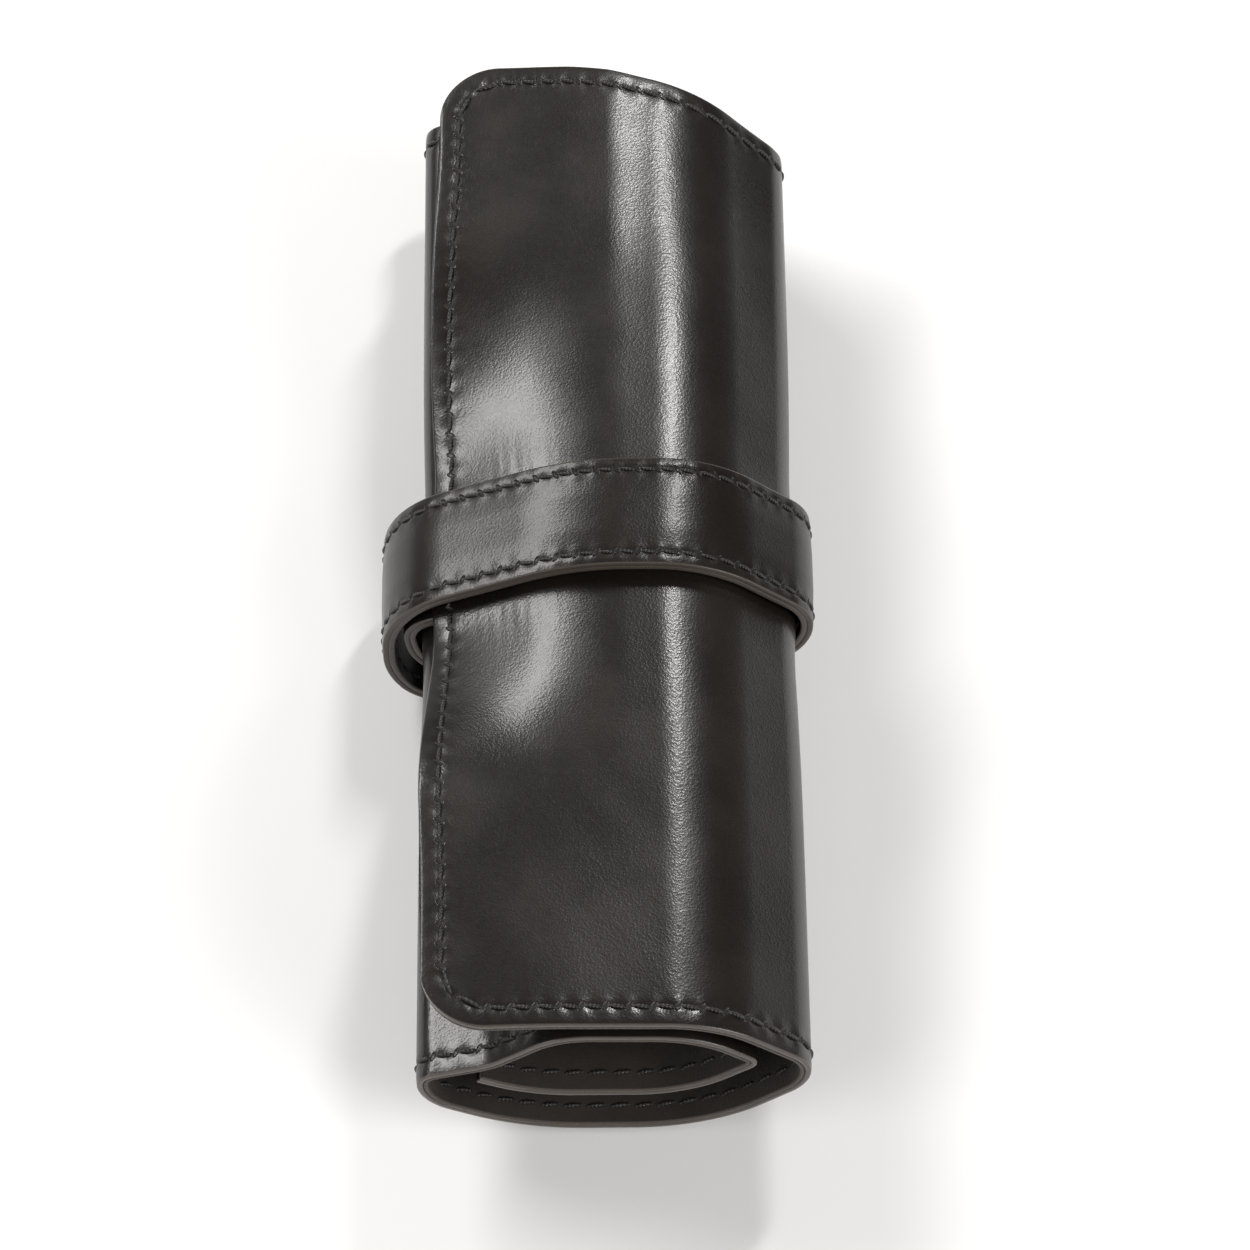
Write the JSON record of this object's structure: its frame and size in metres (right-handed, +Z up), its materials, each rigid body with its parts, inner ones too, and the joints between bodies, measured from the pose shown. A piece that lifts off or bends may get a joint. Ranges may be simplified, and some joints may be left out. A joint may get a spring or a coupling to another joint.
{
  "type": "pencil case",
  "caption": "Soft leather pencil roll: a stitched, lined sheet wound into an oval and held shut by a long strap sewn under its flap; it unrolls flat along coupled folds",
  "frame": {"origin": "on the table under the middle of the closed roll", "axes": "+Y runs along the roll towards its far end, +Z up out of the table, +X to the side that the flap wraps over from"},
  "size_m": [0.0741, 0.19, 0.045],
  "materials": {
    "leather": "glossy, fine grain",
    "strap_leather": "glossy, fine grain",
    "lining": "rough suede",
    "thread": "waxed thread"
  },
  "bodies": {
    "sheet_inner_back": {"shell_inner_back": "leather", "lining_inner_back": "lining", "thread_inner_back": "thread"},
    "sheet_inner_turn": {"shell_inner_turn": "leather", "lining_inner_turn": "lining", "thread_inner_turn": "thread"},
    "sheet_inner_shoulder": {"shell_inner_shoulder": "leather", "lining_inner_shoulder": "lining", "thread_inner_shoulder": "thread"},
    "sheet_inner_top": {"shell_inner_top": "leather", "lining_inner_top": "lining", "thread_inner_top": "thread"},
    "sheet_left_shoulder": {"shell_left_shoulder": "leather", "lining_left_shoulder": "lining", "thread_left_shoulder": "thread"},
    "sheet_left_top": {"shell_left_top": "leather", "lining_left_top": "lining", "thread_left_top": "thread"},
    "sheet_left_side": {"shell_left_side": "leather", "lining_left_side": "lining", "thread_left_side": "thread"},
    "sheet_back": {"shell_back": "leather", "lining_back": "lining", "thread_back": "thread"},
    "sheet_right_low": {"shell_right_low": "leather", "lining_right_low": "lining", "thread_right_low": "thread"},
    "sheet_right_side": {"shell_right_side": "leather", "lining_right_side": "lining", "thread_right_side": "thread"},
    "sheet_right_shoulder": {"shell_right_shoulder": "leather", "lining_right_shoulder": "lining", "thread_right_shoulder": "thread"},
    "sheet_flap": {"shell_flap": "leather", "lining_flap": "lining", "thread_flap": "thread"},
    "sheet_flap_edge": {"shell_flap_edge": "leather", "lining_flap_edge": "lining", "thread_flap_edge": "thread", "strap_root": "strap_leather"},
    "strap_left_under": {"strap_left_under": "strap_leather", "strap_thread_left_under": "thread"},
    "strap_bottom": {"strap_bottom": "strap_leather"},
    "strap_right_low": {"strap_right_low": "strap_leather", "strap_thread_right_low": "thread"},
    "strap_right_shoulder": {"strap_right_shoulder": "strap_leather", "strap_thread_right_shoulder": "thread"},
    "strap_top": {"strap_top": "strap_leather", "strap_thread_top": "thread"},
    "strap_top_left": {"strap_top_left": "strap_leather", "strap_thread_top_left": "thread"},
    "strap_left_outer": {"strap_left_outer": "strap_leather", "strap_thread_left_outer": "thread"},
    "strap_tip": {"strap_tip": "strap_leather", "strap_thread_tip": "thread"}
  },
  "joints": [
    {"name": "fold_left_side", "type": "hinge", "parent": "sheet_back", "child": "sheet_left_side", "pos_m": [-0.01215, 0, 0.00488], "axis": [0, -1, 0], "range_deg": [0, 31.86], "deforming": ["shell_left_side", "lining_left_side", "thread_left_side"]},
    {"name": "fold_left_top", "type": "hinge", "parent": "sheet_left_side", "child": "sheet_left_top", "pos_m": [-0.02794, 0, 0.01457], "axis": [0, -1, 0], "range_deg": [0, 56.31], "deforming": ["shell_left_top", "lining_left_top", "thread_left_top"]},
    {"name": "fold_left_shoulder", "type": "hinge", "parent": "sheet_left_top", "child": "sheet_left_shoulder", "pos_m": [-0.02838, 0, 0.02161], "axis": [0, -1, 0], "range_deg": [0, 60.5], "deforming": ["shell_left_shoulder", "lining_left_shoulder", "thread_left_shoulder"]},
    {"name": "fold_inner_top", "type": "hinge", "parent": "sheet_left_shoulder", "child": "sheet_inner_top", "pos_m": [-0.01025, 0, 0.03262], "axis": [0, -1, 0], "range_deg": [0, 29.83], "deforming": ["shell_inner_top", "lining_inner_top", "thread_inner_top"]},
    {"name": "fold_inner_shoulder", "type": "hinge", "parent": "sheet_inner_top", "child": "sheet_inner_shoulder", "pos_m": [0.01679, 0, 0.03326], "axis": [0, -1, 0], "range_deg": [0, 56.61], "deforming": ["shell_inner_shoulder", "lining_inner_shoulder", "thread_inner_shoulder"]},
    {"name": "fold_inner_turn", "type": "hinge", "parent": "sheet_inner_shoulder", "child": "sheet_inner_turn", "pos_m": [0.02365, 0, 0.02533], "axis": [0, -1, 0], "range_deg": [0, 90.52], "deforming": ["shell_inner_turn", "lining_inner_turn", "thread_inner_turn"]},
    {"name": "fold_inner_back", "type": "hinge", "parent": "sheet_inner_turn", "child": "sheet_inner_back", "pos_m": [0.01134, 0, 0.01687], "axis": [0, -1, 0], "range_deg": [0, 42.18], "deforming": ["shell_inner_back", "lining_inner_back", "thread_inner_back"]},
    {"name": "unroll", "type": "hinge", "parent": "sheet_back", "child": "sheet_right_low", "pos_m": [0.01659, 0, 0.00575], "axis": [0, 1, 0], "range_deg": [0, 41.2], "deforming": ["shell_right_low", "lining_right_low", "thread_right_low"]},
    {"name": "fold_right_side", "type": "hinge", "parent": "sheet_right_low", "child": "sheet_right_side", "pos_m": [0.03236, 0, 0.01948], "axis": [0, 1, 0], "range_deg": [0, 48.01], "deforming": ["shell_right_side", "lining_right_side", "thread_right_side"]},
    {"name": "fold_right_shoulder", "type": "hinge", "parent": "sheet_right_side", "child": "sheet_right_shoulder", "pos_m": [0.03247, 0, 0.02594], "axis": [0, 1, 0], "range_deg": [0, 50.27], "deforming": ["shell_right_shoulder", "lining_right_shoulder", "thread_right_shoulder"]},
    {"name": "fold_flap", "type": "hinge", "parent": "sheet_right_shoulder", "child": "sheet_flap", "pos_m": [0.01761, 0, 0.03859], "axis": [0, 1, 0], "range_deg": [0, 38.02], "deforming": ["shell_flap", "lining_flap", "thread_flap"]},
    {"name": "fold_flap_edge", "type": "hinge", "parent": "sheet_flap", "child": "sheet_flap_edge", "pos_m": [-0.00383, 0, 0.03893], "axis": [0, 1, 0], "range_deg": [0, 15.32], "deforming": ["shell_flap_edge", "lining_flap_edge", "thread_flap_edge", "strap_root"]},
    {"name": "fold_strap_left_under", "type": "hinge", "parent": "sheet_flap_edge", "child": "strap_left_under", "pos_m": [-0.03181, 0, 0.01874], "axis": [0, 1, 0], "range_deg": [0, 108.69], "deforming": ["strap_left_under", "strap_thread_left_under"]},
    {"name": "fold_strap_bottom", "type": "hinge", "parent": "strap_left_under", "child": "strap_bottom", "pos_m": [-0.0145, 0, 0.00301], "axis": [0, 1, 0], "range_deg": [0, 42.78], "deforming": ["strap_bottom"]},
    {"name": "fold_strap_right_low", "type": "hinge", "parent": "strap_bottom", "child": "strap_right_low", "pos_m": [0.01595, 0, 0.00295], "axis": [0, 1, 0], "range_deg": [0, 44.47], "deforming": ["strap_right_low", "strap_thread_right_low"]},
    {"name": "fold_strap_right_shoulder", "type": "hinge", "parent": "strap_right_low", "child": "strap_right_shoulder", "pos_m": [0.03554, 0, 0.02187], "axis": [0, 1, 0], "range_deg": [0, 83.47], "deforming": ["strap_right_shoulder", "strap_thread_right_shoulder"]},
    {"name": "fold_strap_top", "type": "hinge", "parent": "strap_right_shoulder", "child": "strap_top", "pos_m": [0.01984, 0, 0.04142], "axis": [0, 1, 0], "range_deg": [0, 48.76], "deforming": ["strap_top", "strap_thread_top"]},
    {"name": "fold_strap_top_left", "type": "hinge", "parent": "strap_top", "child": "strap_top_left", "pos_m": [-0.00354, 0, 0.04276], "axis": [0, 1, 0], "range_deg": [0, 30.97], "deforming": ["strap_top_left", "strap_thread_top_left"]},
    {"name": "strap_end_open", "type": "hinge", "parent": "strap_top_left", "child": "strap_left_outer", "pos_m": [-0.03221, 0, 0.0279], "axis": [0, 1, 0], "range_deg": [0, 50.96], "deforming": ["strap_left_outer", "strap_thread_left_outer"]},
    {"name": "strap_tip_open", "type": "hinge", "parent": "strap_left_outer", "child": "strap_tip", "pos_m": [-0.03548, 0, 0.01155], "axis": [0, 1, 0], "range_deg": [0, 45.21], "deforming": ["strap_tip", "strap_thread_tip"]}
  ],
  "couplings": [
    {"joint": "fold_left_side", "follows": "unroll", "ratio": 0.77341},
    {"joint": "fold_left_top", "follows": "unroll", "ratio": 1.3668},
    {"joint": "fold_left_shoulder", "follows": "unroll", "ratio": 1.4685},
    {"joint": "fold_inner_top", "follows": "unroll", "ratio": 0.72409},
    {"joint": "fold_inner_shoulder", "follows": "unroll", "ratio": 1.3742},
    {"joint": "fold_inner_turn", "follows": "unroll", "ratio": 2.1972},
    {"joint": "fold_inner_back", "follows": "unroll", "ratio": 1.0239},
    {"joint": "fold_right_side", "follows": "unroll", "ratio": 1.1654},
    {"joint": "fold_right_shoulder", "follows": "unroll", "ratio": 1.2203},
    {"joint": "fold_flap", "follows": "unroll", "ratio": 0.92296},
    {"joint": "fold_flap_edge", "follows": "unroll", "ratio": 0.37181},
    {"joint": "fold_strap_left_under", "follows": "unroll", "ratio": 2.6383},
    {"joint": "fold_strap_bottom", "follows": "unroll", "ratio": 1.0385},
    {"joint": "fold_strap_right_low", "follows": "unroll", "ratio": 1.0794},
    {"joint": "fold_strap_right_shoulder", "follows": "unroll", "ratio": 2.0262},
    {"joint": "fold_strap_top", "follows": "unroll", "ratio": 1.1836},
    {"joint": "fold_strap_top_left", "follows": "unroll", "ratio": 0.75164}
  ]
}
